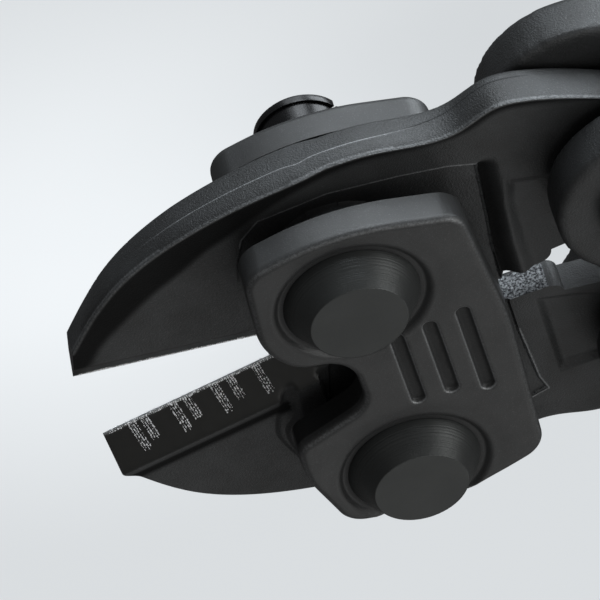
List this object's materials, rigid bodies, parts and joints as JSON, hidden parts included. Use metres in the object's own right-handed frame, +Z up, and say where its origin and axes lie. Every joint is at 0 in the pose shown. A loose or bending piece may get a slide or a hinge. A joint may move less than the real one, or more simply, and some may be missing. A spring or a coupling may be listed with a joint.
{
  "type": "compact bolt cutters",
  "caption": "Compact lever bolt cutters: two forged jaws pivot between side plates and close as two long gripped handles are squeezed together.",
  "frame": {"origin": "On the surface the tool lies on, under the middle of the open tool's length and width.", "axes": "+Z up, along every pivot axis; +X from the jaws to the handles; +Y towards the upper jaw."},
  "size_m": [0.1914, 0.1706, 0.0257],
  "materials": {
    "forged_black": "fine blasted forging, black oxide",
    "blackened_plate": "satin black oxide, tumbled edges",
    "turned_black": "turned, black oxide",
    "spring_steel": "blued",
    "hard_grip": "fine texture",
    "soft_grip": "matt, ribbed",
    "rubber": "matt"
  },
  "bodies": {
    "head": {"front_side_plate": "blackened_plate", "rear_side_plate": "blackened_plate", "upper_pivot_bolt": "turned_black", "upper_nut_washer": "turned_black", "upper_rear_nut": "turned_black", "lower_pivot_bolt": "turned_black", "lower_nut_washer": "turned_black", "lower_rear_nut": "turned_black"},
    "upper_jaw": {"upper_jaw": "forged_black"},
    "lower_jaw": {"lower_jaw": "forged_black"},
    "upper_handle": {"upper_tail_pin": "turned_black", "upper_tail_ring": "spring_steel", "upper_handle_arm": "forged_black", "upper_grip_core": "hard_grip", "upper_grip_sleeve": "soft_grip", "upper_buffer": "rubber", "centre_bolt": "turned_black", "centre_nut": "turned_black", "centre_front_washer": "turned_black", "centre_rear_washer": "turned_black"},
    "lower_handle": {"lower_tail_pin": "turned_black", "lower_tail_ring": "spring_steel", "lower_handle_arm": "forged_black", "lower_grip_core": "hard_grip", "lower_grip_sleeve": "soft_grip", "lower_buffer": "rubber"}
  },
  "joints": [
    {"name": "upper_jaw_pivot", "type": "hinge", "parent": "head", "child": "upper_jaw", "pos_m": [-0.072, 0.011, 0.0129], "axis": [0, 0, 1], "range_deg": [0, 9.5]},
    {"name": "lower_jaw_pivot", "type": "hinge", "parent": "head", "child": "lower_jaw", "pos_m": [-0.072, -0.011, 0.0129], "axis": [0, 0, 1], "range_deg": [-9.5, 0]},
    {"name": "upper_handle_pivot", "type": "hinge", "parent": "upper_jaw", "child": "upper_handle", "pos_m": [-0.047, 0.01, 0.0129], "axis": [0, 0, 1], "range_deg": [-35.14, 0]},
    {"name": "lower_handle_pivot", "type": "hinge", "parent": "lower_jaw", "child": "lower_handle", "pos_m": [-0.047, -0.01, 0.0129], "axis": [0, 0, 1], "range_deg": [0, 35.14]}
  ],
  "couplings": [
    {"joint": "upper_jaw_pivot", "follows": "upper_handle_pivot", "ratio": -0.27034},
    {"joint": "lower_jaw_pivot", "follows": "upper_handle_pivot", "ratio": 0.27034},
    {"joint": "lower_handle_pivot", "follows": "upper_handle_pivot", "ratio": -1}
  ]
}
